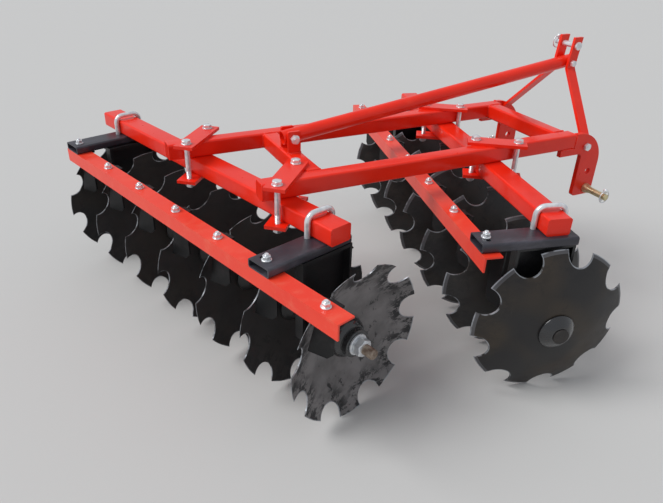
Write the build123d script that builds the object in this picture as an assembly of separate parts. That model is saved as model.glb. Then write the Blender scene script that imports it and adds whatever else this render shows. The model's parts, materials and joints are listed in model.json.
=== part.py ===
"""Light mounted offset disc harrow, two gangs of seven notched discs, in millimetres.

+X is the machine's right, +Y the way it travels, +Z up, and the floor is z = 0.
Each gang has its own frame: s runs along the gang to the right, v across it and
forwards, with s = v = 0 under the middle of the main frame.
"""
from math import atan2, cos, degrees, hypot, radians, sin, sqrt
import os

from build123d import *

# Discs
DISC_DIAMETER = 460.0
DISC_THICKNESS = 4.0
DISH_RADIUS = 520.0
DISC_FLAT_RADIUS = 58.0
DISC_SPACING = 210.0
DISCS_PER_GANG = 7
NOTCH_COUNT = 9
NOTCH_RADIUS = 40.0
NOTCH_INSET = 5.0
BEVEL_WIDTH = 9.0
EDGE_THICKNESS = 1.4

# Axle, spools and bearings of a gang
AXLE_SQUARE = 30.0
AXLE_THREAD_DIAMETER = 30.0
AXLE_NUT_FLATS = 46.0
AXLE_NUT_HEIGHT = 24.0
AXLE_END_STUD = 34.0
AXLE_FIT = 0.4
SPOOL_DIAMETER = 60.0
SPOOL_FLANGE_DIAMETER = 108.0
SPOOL_FLANGE_THICKNESS = 7.0
SPOOL_TAPER_LENGTH = 24.0
END_BELL_LENGTH = 46.0
END_BELL_RIM = 8.0
END_BELL_SHOULDER_DIAMETER = 88.0
END_BELL_SHOULDER_HEIGHT = 28.0
END_BELL_SHOULDER_STEP = 3.0
END_BELL_BULGE = 26.0
END_CAP_DIAMETER = 106.0
END_CAP_HEIGHT = 24.0
END_CAP_RIM = 4.0
END_CAP_DOME_RADIUS = 68.0
AXLE_WASHER_DIAMETER = 62.0
AXLE_WASHER_THICKNESS = 6.0
AXLE_HEAD_DIAMETER = 46.0
AXLE_HEAD_HEIGHT = 6.0
AXLE_TURN = 6.0
BEARING_CLEARANCE = 0.05
HOUSING_DIAMETER = 104.0
HOUSING_LENGTH = 54.0
HANGER_THICKNESS = 8.0
HANGER_WIDTH = 172.0
HANGER_V = -25.0
HANGER_DEPTH = 30.0
HANGER_TOP_THICKNESS = 10.0
HANGER_TOP_MARGIN = 20.0

# Main frame
DISC_TOP_GAP = 7.0
MAIN_TUBE = 50.0
MAIN_TUBE_SPACING = 388.0
MAIN_TUBE_FRONT = 590.0
MAIN_TUBE_REAR_RIGHT = -527.0
MAIN_TUBE_REAR_LEFT = -684.0
TUBE_WALL = 4.0
TUBE_CORNER = 7.0
FRONT_CROSSMEMBER_Y = 553.0
REAR_CROSSMEMBER_Y = -355.0

# Gang beams, arms and scraper bars
BEAM_WIDTH = 70.0
BEAM_HEIGHT = 50.0
ARM_WIDTH = 80.0
ARM_HEIGHT = 26.0
ARM_WALL = 4.0
ARM_REAR = -218.0
ARM_FRONT = 57.0
ARM_SPARE_HOLE_STEP = 17.0
BAR_FLANGE = 50.0
BAR_DROP = 44.0
BAR_THICKNESS = 5.0
BAR_BOLT_INSET = 29.0

# Scrapers
SCRAPER_THICKNESS = 6.0
SCRAPER_TAB_WIDTH = 36.0
SCRAPER_TAB_REACH = 17.0
SCRAPER_BLADE_WIDTH = 72.0
SCRAPER_BLADE_BOTTOM = 292.0
SCRAPER_BLADE_TURN = 16.0
SCRAPER_BLADE_CORNER = 16.0
SCRAPER_DISC_GAP = 8.0
EDGE_STEPS = 4

# Fasteners
BOLT_DIAMETER = 16.0
BOLT_FLATS = 24.0
BOLT_HEAD_HEIGHT = 10.0
BOLT_NUT_HEIGHT = 13.0
BOLT_END = 3.0
WASHER_DIAMETER = 30.0
WASHER_THICKNESS = 3.0
BAR_BOLT_DIAMETER = 12.0
BAR_BOLT_FLATS = 19.0
BAR_HEAD_HEIGHT = 8.0
BAR_NUT_HEIGHT = 10.0
BAR_BOLT_END = 5.0
BAR_WASHER_DIAMETER = 26.0
HOLE_CLEARANCE = 0.5
U_BOLT_BEND_RADIUS = 24.0

# Clamps that hold the gang beams under the main tubes
CLAMP_PLATE_WIDTH = 60.0
CLAMP_PLATE_THICKNESS = 10.0
CLAMP_PLATE_OVERHANG = 26.0

# Hitch and mast. Heights count from the top of the main tubes, up or down, and forward
# places from the main tubes' front end
HITCH_PLATE_THICKNESS = 16.0
HITCH_PLATE_TAB_LENGTH = 60.0
HITCH_PLATE_TAB_DROP = 23.0
HITCH_PLATE_REAR = 39.0
HITCH_PLATE_FRONT = 128.0
HITCH_PLATE_DROP = 231.0
HITCH_PLATE_NOSE_RADIUS = 112.0
HITCH_PLATE_INNER_RADIUS = 14.0
HITCH_PLATE_CORNER_RADIUS = 12.0
STRAP_WIDTH = 36.0
STRAP_THICKNESS = 10.0
STRAP_GAP = 52.0
STRAP_FOOT_MARGIN = 26.0
STRAP_HOLE_FORWARD = 54.0
STRAP_HOLE_DROP = 49.0
STRAP_LOWER_BEND_HEIGHT = -16.0
STRAP_UPPER_BEND_FORWARD = 100.0
STRAP_UPPER_BEND_HEIGHT = 170.0
STRAP_TOP_FORWARD = 111.0
STRAP_TOP_HEIGHT = 273.0
TOP_PIN_DIAMETER = 19.0
TOP_PIN_BELOW_TOP = 28.0
TOP_PIN_OVERHANG = 26.0
PIN_HEAD_DIAMETER = 27.0
PIN_HEAD_THICKNESS = 8.0
LOWER_PIN_DIAMETER = 22.0
LOWER_PIN_FORWARD = 96.0
LOWER_PIN_DROP = 207.0
LOWER_PIN_LENGTH = 98.0
LOWER_PIN_COLLAR_DIAMETER = 34.0
LOWER_PIN_COLLAR_LENGTH = 26.0
LOWER_PIN_COLLAR_RIM = 8.0
LOWER_PIN_TIP = 3.0
LOWER_PIN_NUT_HEIGHT = 18.0
SPARE_HOLE_DIAMETER = 22.4
SPARE_HOLE_FORWARD = 88.0
SPARE_HOLE_DROP = 143.0

# Stay from the rear crossmember up to the mast
STAY_DIAMETER = 42.4
STAY_WALL = 3.2
STAY_BOLT_ABOVE_BEND = 17.0
STAY_END_MARGIN = 27.0
LUG_GAP = 45.0
LUG_THICKNESS = 9.0
LUG_WIDTH = 40.0
LUG_HEIGHT = 66.0
LUG_HOLE_HEIGHT = 44.0
LUG_CORNER = 4.0

# Each gang: where its beam crosses the middle plane, its angle to the machine, the way
# its discs are hollow (+1 to the right), the beam's ends, the rightmost disc's rim, the
# bar's ends, the rightmost scraper bolt and how far the axle sits from the beam's middle.
# A disc goes on the square bar at any of four quarter turns, listed here from the left
GANGS = {
    "rear": dict(y=-525.0, angle=17.4, hollow=1, beam=(-792.0, 441.0), last_rim=531.0,
                 bar=(-717.0, 660.0), last_bolt=594.3, axle_v=-10.0, turns=(0, 0, 0, 3, 1, 3, 1)),
    "front": dict(y=299.0, angle=-13.45, hollow=-1, beam=(-598.0, 625.0), last_rim=640.0,
                  bar=(-710.0, 661.0), last_bolt=598.5, axle_v=16.0, turns=(1, 1, 1, 2, 1, 0, 0)),
}

# Arms under the beams: gang, side, arm's middle, U-bolt's middle, hanger's middle, all in s
ARMS = [
    ("rear", "right", 384.0, 362.0, 398.0),
    ("rear", "left", -671.0, -677.0, -641.0),
    ("front", "right", 602.0, 574.0, 604.0),
    ("front", "left", -451.5, -478.0, -444.0),
]

# Clamps: gang, side, middle x and y, and half of the step from bolt to bolt in x and y
CLAMPS = [
    ("rear", "right", 191.0, -445.0, 61.0, -52.0),
    ("rear", "left", -195.0, -587.0, 60.0, -49.0),
    ("front", "right", 194.0, 268.0, 38.0, 54.0),
    ("front", "left", -194.0, 334.0, 35.0, 51.0),
]

# Heights that follow from the discs upwards. As the discs are turned, at least one in each
# gang has its full rim at the bottom
DISC_RADIUS = DISC_DIAMETER / 2
NOTCH_CENTRE = DISC_RADIUS - NOTCH_INSET
AXLE_Z = DISC_RADIUS
ARM_BOTTOM = AXLE_Z + DISC_RADIUS + DISC_TOP_GAP
ARM_TOP = ARM_BOTTOM + ARM_HEIGHT
BEAM_TOP = ARM_TOP + BEAM_HEIGHT
FRAME_TOP = BEAM_TOP + MAIN_TUBE
FRAME_SIDE = (MAIN_TUBE_SPACING + MAIN_TUBE) / 2
STRAP_HOLE_Y = MAIN_TUBE_FRONT + STRAP_HOLE_FORWARD
STRAP_HOLE_Z = FRAME_TOP - STRAP_HOLE_DROP
STRAP_UPPER_BEND_Y = MAIN_TUBE_FRONT + STRAP_UPPER_BEND_FORWARD
STRAP_UPPER_BEND_Z = FRAME_TOP + STRAP_UPPER_BEND_HEIGHT
STRAP_TOP_Y = MAIN_TUBE_FRONT + STRAP_TOP_FORWARD
STRAP_TOP_Z = FRAME_TOP + STRAP_TOP_HEIGHT
TOP_PIN_Z = STRAP_TOP_Z - TOP_PIN_BELOW_TOP
STAY_BOLT_Z = STRAP_UPPER_BEND_Z + STAY_BOLT_ABOVE_BEND
LOWER_PIN_Y = MAIN_TUBE_FRONT + LOWER_PIN_FORWARD
LOWER_PIN_Z = FRAME_TOP - LOWER_PIN_DROP
DISH_SPHERE_Z = sqrt(DISH_RADIUS**2 - DISC_FLAT_RADIUS**2)


def dish_height(radius):
    """Height of the dished face over the flat middle, at a radius from the axle."""
    return DISH_SPHERE_Z - sqrt(DISH_RADIUS**2 - max(radius, DISC_FLAT_RADIUS)**2)


DISC_DEPTH = dish_height(DISC_RADIUS)
SPOOL_LENGTH = DISC_SPACING - DISC_THICKNESS


def gang_frame(gang):
    return Location((0, GANGS[gang]["y"], 0), (0, 0, GANGS[gang]["angle"]))


def axle_frame(gang):
    """Frame on the square bar: +Z points the way the discs are hollow and +X nearly down."""
    on_axle = gang_frame(gang) * Location((0, GANGS[gang]["axle_v"], AXLE_Z), (0, 90, 0))
    turned = on_axle * Rot(0, 0, AXLE_TURN)
    return turned if GANGS[gang]["hollow"] > 0 else turned * Rot(180, 0, 0)


def rim_positions(gang):
    last = GANGS[gang]["last_rim"]
    return [last - DISC_SPACING * (DISCS_PER_GANG - 1 - n) for n in range(DISCS_PER_GANG)]


def hub_height(gang, rim_s):
    """Place of a disc's back face along its axle frame."""
    return GANGS[gang]["hollow"] * rim_s - DISC_DEPTH - DISC_THICKNESS


def cylinder(diameter, height, x=0, y=0, z=0):
    return Pos(x, y, z) * Cylinder(diameter / 2, height, align=(Align.CENTER, Align.CENTER, Align.MIN))


def hexagon(flats, height, x=0, y=0, z=0):
    outline = RegularPolygon(flats / 2, 6, major_radius=False)
    return extrude(Pos(x, y, z) * outline, height)


def prism(plane, outline, length):
    """Outline in the plane's own x and y, carried along the plane's normal."""
    return extrude(plane * outline, length, dir=plane.z_dir)


def square_tube(plane, width, height, length, wall, cap=0.0):
    """Rounded rectangular tube along the plane's normal, closed by end caps if cap is given."""
    outer = RectangleRounded(width, height, TUBE_CORNER)
    inner = RectangleRounded(width - 2 * wall, height - 2 * wall, TUBE_CORNER - wall)
    return prism(plane, outer, length) - prism(plane.offset(cap), inner, length - 2 * cap)


def x_plane(x, y, z):
    return Plane(origin=(x, y, z), x_dir=(0, 1, 0), z_dir=(1, 0, 0))


def y_plane(x, y, z):
    return Plane(origin=(x, y, z), x_dir=(1, 0, 0), z_dir=(0, 1, 0))


def main_tube(side):
    rear = MAIN_TUBE_REAR_RIGHT if side > 0 else MAIN_TUBE_REAR_LEFT
    plane = y_plane(side * MAIN_TUBE_SPACING / 2, rear, FRAME_TOP - MAIN_TUBE / 2)
    return square_tube(plane, MAIN_TUBE, MAIN_TUBE, MAIN_TUBE_FRONT - rear, TUBE_WALL, TUBE_WALL)


def crossmember(y):
    length = MAIN_TUBE_SPACING - MAIN_TUBE
    plane = x_plane(-length / 2, y, FRAME_TOP - MAIN_TUBE / 2)
    return square_tube(plane, MAIN_TUBE, MAIN_TUBE, length, TUBE_WALL)


def hitch_plate(side):
    """Plate that closes the tube's front end, with a tab under the tube and a leg below it."""
    tube_y = MAIN_TUBE_FRONT
    rear_y = tube_y + HITCH_PLATE_REAR
    front_y = tube_y + HITCH_PLATE_FRONT
    tab_y = tube_y - HITCH_PLATE_TAB_LENGTH
    tab_z = BEAM_TOP - HITCH_PLATE_TAB_DROP
    foot_z = FRAME_TOP - HITCH_PLATE_DROP
    nose_y = front_y - HITCH_PLATE_NOSE_RADIUS
    nose_z = FRAME_TOP - HITCH_PLATE_NOSE_RADIUS
    outline = RadiusArc((nose_y, FRAME_TOP), (front_y, nose_z), HITCH_PLATE_NOSE_RADIUS)
    outline += Polyline((front_y, nose_z), (front_y, foot_z), (rear_y, foot_z), (rear_y, tab_z),
                        (tab_y, tab_z), (tab_y, BEAM_TOP), (tube_y, BEAM_TOP), (tube_y, FRAME_TOP),
                        (nose_y, FRAME_TOP))
    start = FRAME_SIDE - HITCH_PLATE_THICKNESS if side > 0 else -FRAME_SIDE
    plate = prism(x_plane(start, 0, 0), make_face(outline), HITCH_PLATE_THICKNESS)
    corners = plate.edges().filter_by(Axis.X).sort_by(Axis.Z)
    plate = fillet(corners[:2], HITCH_PLATE_CORNER_RADIUS)
    elbow = plate.edges().filter_by(Axis.X).sort_by_distance((start, rear_y, tab_z))[0]
    plate = fillet(elbow, HITCH_PLATE_INNER_RADIUS)
    holes = [(STRAP_HOLE_Y, STRAP_HOLE_Z, BOLT_DIAMETER + HOLE_CLEARANCE),
             (tube_y + SPARE_HOLE_FORWARD, FRAME_TOP - SPARE_HOLE_DROP, SPARE_HOLE_DIAMETER),
             (LOWER_PIN_Y, LOWER_PIN_Z, LOWER_PIN_DIAMETER)]
    for y, z, diameter in holes:
        plate -= prism(x_plane(start, y, z), Circle(diameter / 2), HITCH_PLATE_THICKNESS)
    return plate


def strap_y(z):
    """Middle of the strap's upper run at a height."""
    share = (z - STRAP_UPPER_BEND_Z) / (STRAP_TOP_Z - STRAP_UPPER_BEND_Z)
    return STRAP_UPPER_BEND_Y + share * (STRAP_TOP_Y - STRAP_UPPER_BEND_Y)


def strap_section(x, y, z, tilt, thickness):
    """Cross-section of the strap in a plane tipped by tilt about the direction of travel."""
    plane = Plane(origin=(x, y, z), x_dir=(0, 1, 0), z_dir=(-sin(tilt), 0, cos(tilt)))
    return plane * Rectangle(STRAP_WIDTH, thickness)


def mast_strap(side):
    """Flat bar from the hitch plate's inner face, leaning in to the pair at the top link."""
    foot_x = FRAME_SIDE - HITCH_PLATE_THICKNESS - STRAP_THICKNESS / 2
    top_x = (STRAP_GAP + STRAP_THICKNESS) / 2
    lean = atan2(foot_x - top_x, STRAP_UPPER_BEND_HEIGHT - STRAP_LOWER_BEND_HEIGHT)
    mitre = STRAP_THICKNESS / cos(lean / 2)
    sections = [
        strap_section(side * foot_x, STRAP_HOLE_Y, STRAP_HOLE_Z - STRAP_FOOT_MARGIN, 0, STRAP_THICKNESS),
        strap_section(side * foot_x, STRAP_HOLE_Y, FRAME_TOP + STRAP_LOWER_BEND_HEIGHT, side * lean / 2,
                      mitre),
        strap_section(side * top_x, STRAP_UPPER_BEND_Y, STRAP_UPPER_BEND_Z, side * lean / 2, mitre),
        strap_section(side * top_x, STRAP_TOP_Y, STRAP_TOP_Z, 0, STRAP_THICKNESS)]
    runs = [loft([low, high], ruled=True) for low, high in zip(sections, sections[1:])]
    strap = runs[0] + runs[1] + runs[2]
    holes = [(STRAP_HOLE_Y, STRAP_HOLE_Z, BOLT_DIAMETER + HOLE_CLEARANCE),
             (strap_y(STAY_BOLT_Z), STAY_BOLT_Z, BAR_BOLT_DIAMETER + HOLE_CLEARANCE),
             (strap_y(TOP_PIN_Z), TOP_PIN_Z, TOP_PIN_DIAMETER + HOLE_CLEARANCE)]
    for y, z, diameter in holes:
        strap -= prism(x_plane(-FRAME_SIDE, y, z), Circle(diameter / 2), 2 * FRAME_SIDE)
    return strap


def stay_points():
    """Centres of the stay's two bolts, as (y, z)."""
    rear = (REAR_CROSSMEMBER_Y, FRAME_TOP + LUG_HOLE_HEIGHT)
    return rear, (strap_y(STAY_BOLT_Z), STAY_BOLT_Z)


def stay_tube():
    rear, front = stay_points()
    run = hypot(front[0] - rear[0], front[1] - rear[1])
    ahead = Vector(0, (front[0] - rear[0]) / run, (front[1] - rear[1]) / run)
    start = Vector(0, *rear) - ahead * STAY_END_MARGIN
    plane = Plane(origin=start, x_dir=(1, 0, 0), z_dir=ahead)
    ring = Circle(STAY_DIAMETER / 2) - Circle(STAY_DIAMETER / 2 - STAY_WALL)
    tube = prism(plane, ring, run + 2 * STAY_END_MARGIN)
    for (y, z), diameter in ((rear, BOLT_DIAMETER), (front, BAR_BOLT_DIAMETER)):
        hole = Circle((diameter + HOLE_CLEARANCE) / 2)
        tube -= prism(x_plane(-STAY_DIAMETER, y, z), hole, 2 * STAY_DIAMETER)
    return tube


def stay_lug():
    plates = []
    for side in (-1, 1):
        x = side * (LUG_GAP + LUG_THICKNESS) / 2
        y = REAR_CROSSMEMBER_Y
        z = FRAME_TOP + LUG_HEIGHT / 2
        plate = Pos(x, y, z) * Box(LUG_THICKNESS, LUG_WIDTH, LUG_HEIGHT)
        top_edges = plate.edges().filter_by(Axis.X).group_by(Axis.Z)[-1]
        plate = fillet(top_edges, LUG_CORNER)
        hole = Circle((BOLT_DIAMETER + HOLE_CLEARANCE) / 2)
        hole_plane = x_plane(x - LUG_THICKNESS, y, FRAME_TOP + LUG_HOLE_HEIGHT)
        plates.append(plate - prism(hole_plane, hole, 2 * LUG_THICKNESS))
    return plates


def bolt_along_x(side, inner_x, outer_x, y, z, diameter=BOLT_DIAMETER, flats=BOLT_FLATS):
    """Bolt with its head outside outer_x and its nut inside inner_x, on the side given."""
    head = hexagon(flats, BOLT_HEAD_HEIGHT, z=outer_x - inner_x)
    nut = hexagon(flats, BOLT_NUT_HEIGHT, z=-BOLT_NUT_HEIGHT)
    shank_start = -BOLT_NUT_HEIGHT - BOLT_END
    shank = cylinder(diameter, outer_x - inner_x - shank_start, z=shank_start)
    bolt = shank + head + nut
    place = Plane(origin=(side * inner_x, y, z), x_dir=(0, 1, 0), z_dir=(side, 0, 0))
    return place * bolt


def stay_bolts():
    rear, front = stay_points()
    lug_side = LUG_GAP / 2 + LUG_THICKNESS
    strap_side = STRAP_GAP / 2 + STRAP_THICKNESS
    return [bolt_along_x(-1, -lug_side, lug_side, *rear),
            bolt_along_x(1, -strap_side, strap_side, *front, BAR_BOLT_DIAMETER, BAR_BOLT_FLATS)]


def strap_foot_bolts():
    inner = FRAME_SIDE - HITCH_PLATE_THICKNESS - STRAP_THICKNESS
    return [bolt_along_x(side, inner, FRAME_SIDE, STRAP_HOLE_Y, STRAP_HOLE_Z) for side in (-1, 1)]


def top_link_pin():
    half = STRAP_GAP / 2 + STRAP_THICKNESS
    start = -half - TOP_PIN_OVERHANG
    plane = x_plane(start, strap_y(TOP_PIN_Z), TOP_PIN_Z)
    pin = prism(plane, Circle(TOP_PIN_DIAMETER / 2), half - start)
    head = prism(plane.offset(half - start), Circle(PIN_HEAD_DIAMETER / 2), PIN_HEAD_THICKNESS)
    return pin + head


def lower_link_pin(side):
    """Pin fixed in the hitch plate by a tapered collar and a nut, its free end outwards."""
    place = Plane(origin=(side * FRAME_SIDE, LOWER_PIN_Y, LOWER_PIN_Z), x_dir=(0, 1, 0), z_dir=(side, 0, 0))
    nut_z = -HITCH_PLATE_THICKNESS - LOWER_PIN_NUT_HEIGHT
    start = nut_z - BOLT_END
    pin = cylinder(LOWER_PIN_DIAMETER, LOWER_PIN_LENGTH - start, z=start)
    pin = chamfer(pin.edges().sort_by(Axis.Z)[-1], LOWER_PIN_TIP)
    wide = LOWER_PIN_COLLAR_DIAMETER / 2
    collar = revolve(Plane.XZ * Polygon((0, 0), (wide, 0), (wide, LOWER_PIN_COLLAR_RIM),
                                        (LOWER_PIN_DIAMETER / 2, LOWER_PIN_COLLAR_LENGTH),
                                        (0, LOWER_PIN_COLLAR_LENGTH), align=None), Axis.Z)
    nut = hexagon(LOWER_PIN_COLLAR_DIAMETER, LOWER_PIN_NUT_HEIGHT, z=nut_z)
    return place * (pin + collar + nut)


def gang_beam(gang):
    start, end = GANGS[gang]["beam"]
    plane = x_plane(start, 0, ARM_TOP + BEAM_HEIGHT / 2)
    beam = square_tube(plane, BEAM_WIDTH, BEAM_HEIGHT, end - start, TUBE_WALL, TUBE_WALL)
    return gang_frame(gang) * beam


def clamp_bolt_points(clamp):
    _, _, x, y, step_x, step_y = clamp
    return [(x + step_x, y + step_y), (x - step_x, y - step_y)]


def clamp_plates(clamp):
    """Plate on the main tube and plate under the beam, both across the crossing."""
    _, _, x, y, step_x, step_y = clamp
    length = 2 * (hypot(step_x, step_y) + CLAMP_PLATE_OVERHANG)
    turn = degrees(atan2(step_y, step_x))
    plates = []
    for z in (FRAME_TOP, ARM_TOP - CLAMP_PLATE_THICKNESS):
        outline = Pos(x, y, z) * Rot(0, 0, turn) * Rectangle(length, CLAMP_PLATE_WIDTH)
        plate = extrude(outline, CLAMP_PLATE_THICKNESS)
        for bolt_x, bolt_y in clamp_bolt_points(clamp):
            plate -= cylinder(BOLT_DIAMETER + HOLE_CLEARANCE, CLAMP_PLATE_THICKNESS, bolt_x, bolt_y, z)
        plates.append(plate)
    return plates


def clamp_bolts(clamp):
    top = FRAME_TOP + CLAMP_PLATE_THICKNESS
    bottom = ARM_TOP - CLAMP_PLATE_THICKNESS
    nut_bottom = bottom - WASHER_THICKNESS - BOLT_NUT_HEIGHT
    bolts = []
    for x, y in clamp_bolt_points(clamp):
        bolt = cylinder(BOLT_DIAMETER, top - nut_bottom + BOLT_END, x, y, nut_bottom - BOLT_END)
        bolt += cylinder(WASHER_DIAMETER, WASHER_THICKNESS, x, y, top)
        bolt += hexagon(BOLT_FLATS, BOLT_HEAD_HEIGHT, x, y, top + WASHER_THICKNESS)
        bolt += cylinder(WASHER_DIAMETER, WASHER_THICKNESS, x, y, bottom - WASHER_THICKNESS)
        bolt += hexagon(BOLT_FLATS, BOLT_NUT_HEIGHT, x, y, nut_bottom)
        bolts.append(bolt)
    return bolts


def u_bolt_leg_v():
    return BEAM_WIDTH / 2 + BOLT_DIAMETER / 2 + HOLE_CLEARANCE


def bar_bolt_v():
    return ARM_REAR + BAR_FLANGE - BAR_BOLT_INSET + BAR_THICKNESS


def nearest_bolt(gang, s):
    return min(bolt_positions(gang), key=lambda bolt: abs(bolt - s))


def arm(row):
    gang, _, arm_s, bolt_s, _ = row
    plane = y_plane(arm_s, ARM_REAR, ARM_BOTTOM + ARM_HEIGHT / 2)
    tube = square_tube(plane, ARM_WIDTH, ARM_HEIGHT, ARM_FRONT - ARM_REAR, ARM_WALL)
    for v in (-u_bolt_leg_v(), u_bolt_leg_v()):
        tube -= cylinder(BOLT_DIAMETER + HOLE_CLEARANCE, ARM_HEIGHT, bolt_s, v, ARM_BOTTOM)
    used = nearest_bolt(gang, arm_s)
    for s in (used, used - GANGS[gang]["hollow"] * ARM_SPARE_HOLE_STEP):
        tube -= cylinder(BAR_BOLT_DIAMETER + HOLE_CLEARANCE, ARM_HEIGHT, s, bar_bolt_v(), ARM_BOTTOM)
    return gang_frame(gang) * tube


def u_bolt_rise():
    """Gap over the beam: the bends are wider than its corners, which stop them first."""
    room = U_BOLT_BEND_RADIUS - BOLT_DIAMETER / 2 - TUBE_CORNER
    return room - sqrt(room**2 - (room - HOLE_CLEARANCE)**2) + BEARING_CLEARANCE


def u_bolt(row):
    """Round bar bent over the beam, its legs through the arm and the hanger's top."""
    gang, _, _, bolt_s, _ = row
    leg = u_bolt_leg_v()
    top = BEAM_TOP + u_bolt_rise() + BOLT_DIAMETER / 2
    seat = ARM_BOTTOM - HANGER_TOP_THICKNESS
    nut_bottom = seat - WASHER_THICKNESS - BOLT_NUT_HEIGHT
    foot = nut_bottom - BOLT_END
    corners = [(bolt_s, -leg, foot), (bolt_s, -leg, top), (bolt_s, leg, top), (bolt_s, leg, foot)]
    path = FilletPolyline(*corners, radius=U_BOLT_BEND_RADIUS)
    bar = sweep(Plane(origin=corners[0], z_dir=(0, 0, 1)) * Circle(BOLT_DIAMETER / 2), path)
    for v in (-leg, leg):
        bar += cylinder(WASHER_DIAMETER, WASHER_THICKNESS, bolt_s, v, seat - WASHER_THICKNESS)
        bar += hexagon(BOLT_FLATS, BOLT_NUT_HEIGHT, bolt_s, v, nut_bottom)
    return gang_frame(gang) * bar


def hanger(row):
    """Channel, open to the right, that stands on the bearing housing and ends in a top plate."""
    gang, _, _, bolt_s, hanger_s = row
    axle_v = GANGS[gang]["axle_v"]
    left = hanger_s - HANGER_THICKNESS / 2
    right = left + HANGER_DEPTH
    top_start = min(bolt_s - HANGER_TOP_MARGIN, left)
    top_z = ARM_BOTTOM - HANGER_TOP_THICKNESS
    top = prism(x_plane(top_start, HANGER_V, top_z + HANGER_TOP_THICKNESS / 2),
                Rectangle(HANGER_WIDTH, HANGER_TOP_THICKNESS), right - top_start)
    for v in (-u_bolt_leg_v(), u_bolt_leg_v()):
        top -= cylinder(BOLT_DIAMETER + HOLE_CLEARANCE, HANGER_TOP_THICKNESS, bolt_s, v, top_z)
    middle = x_plane(left, HANGER_V, (AXLE_Z + top_z) / 2)
    channel = prism(middle, Rectangle(HANGER_WIDTH, top_z - AXLE_Z), HANGER_DEPTH)
    channel -= prism(middle.offset(HANGER_THICKNESS),
                     Rectangle(HANGER_WIDTH - 2 * HANGER_THICKNESS, top_z - AXLE_Z), HANGER_DEPTH)
    channel -= prism(x_plane(left, axle_v, AXLE_Z), Circle(HOUSING_DIAMETER / 2), HANGER_DEPTH)
    return gang_frame(gang) * (top + channel)


def bearing_housing(row):
    gang, _, _, _, hanger_s = row
    plane = x_plane(hanger_s - HOUSING_LENGTH / 2, GANGS[gang]["axle_v"], AXLE_Z)
    bore = SPOOL_DIAMETER / 2 + BEARING_CLEARANCE
    housing = prism(plane, Circle(HOUSING_DIAMETER / 2) - Circle(bore), HOUSING_LENGTH)
    return gang_frame(gang) * housing


def bolt_positions(gang):
    last = GANGS[gang]["last_bolt"]
    return [last - DISC_SPACING * (DISCS_PER_GANG - 1 - n) for n in range(DISCS_PER_GANG)]


def scraper_bar(gang):
    """Angle iron whose top flange lies under the arms and whose other flange hangs behind."""
    start, end = GANGS[gang]["bar"]
    top = ARM_BOTTOM
    corners = [(ARM_REAR, top), (ARM_REAR + BAR_FLANGE, top), (ARM_REAR + BAR_FLANGE, top - BAR_THICKNESS),
               (ARM_REAR + BAR_THICKNESS, top - BAR_THICKNESS), (ARM_REAR + BAR_THICKNESS, top - BAR_DROP),
               (ARM_REAR, top - BAR_DROP)]
    bar = prism(x_plane(start, 0, 0), Polygon(*corners, align=None), end - start)
    for s in bolt_positions(gang):
        bar -= cylinder(BAR_BOLT_DIAMETER + HOLE_CLEARANCE, BAR_THICKNESS, s, bar_bolt_v(),
                        top - BAR_THICKNESS)
    return gang_frame(gang) * bar


def bar_bolts(gang):
    """Bolts that hold the scrapers under the bar, two of them through the arms as well."""
    arm_middles = [row[2] for row in ARMS if row[0] == gang]
    tab_bottom = ARM_BOTTOM - BAR_THICKNESS - SCRAPER_THICKNESS
    bolts = []
    for s in bolt_positions(gang):
        under_arm = any(abs(s - middle) < ARM_WIDTH / 2 for middle in arm_middles)
        top = ARM_TOP if under_arm else ARM_BOTTOM
        nut_z = top + WASHER_THICKNESS
        v = bar_bolt_v()
        length = nut_z + BAR_NUT_HEIGHT + BAR_BOLT_END - tab_bottom
        bolt = cylinder(BAR_BOLT_DIAMETER, length, s, v, tab_bottom)
        bolt += hexagon(BAR_BOLT_FLATS, BAR_HEAD_HEIGHT, s, v, tab_bottom - BAR_HEAD_HEIGHT)
        bolt += cylinder(BAR_WASHER_DIAMETER, WASHER_THICKNESS, s, v, top)
        bolt += hexagon(BAR_BOLT_FLATS, BAR_NUT_HEIGHT, s, v, nut_z)
        bolts.append(gang_frame(gang) * bolt)
    return bolts


def blade_v():
    return ARM_REAR + BAR_FLANGE + SCRAPER_TAB_REACH


def blade_place(gang, bolt_s, surface):
    """Where a turned blade's edge lies from its bolt, clear of a disc face at that s."""
    edge_s = surface + GANGS[gang]["hollow"] * SCRAPER_DISC_GAP
    return (edge_s - bolt_s) / cos(radians(SCRAPER_BLADE_TURN))


def blade_out(gang, place):
    """How far the rear side of the blade's edge lies from the axle along v."""
    turned = place * sin(radians(SCRAPER_BLADE_TURN))
    return GANGS[gang]["axle_v"] - (blade_v() + turned - SCRAPER_THICKNESS)


def blade_edge(gang, bolt_s, rim_s, top):
    """Edge points of a blade: in the disc's hollow, beside its rim and at the tab."""
    hollow = GANGS[gang]["hollow"]
    at_rim = blade_place(gang, bolt_s, rim_s)
    low = at_rim
    for _ in range(EDGE_STEPS):
        radius = hypot(blade_out(gang, low), SCRAPER_BLADE_BOTTOM - AXLE_Z)
        low = blade_place(gang, bolt_s, rim_s - hollow * (DISC_DEPTH - dish_height(radius)))
    rim_z = AXLE_Z + sqrt(DISC_RADIUS**2 - blade_out(gang, at_rim)**2)
    return [(low, SCRAPER_BLADE_BOTTOM), (at_rim, rim_z), (at_rim, top)]


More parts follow.
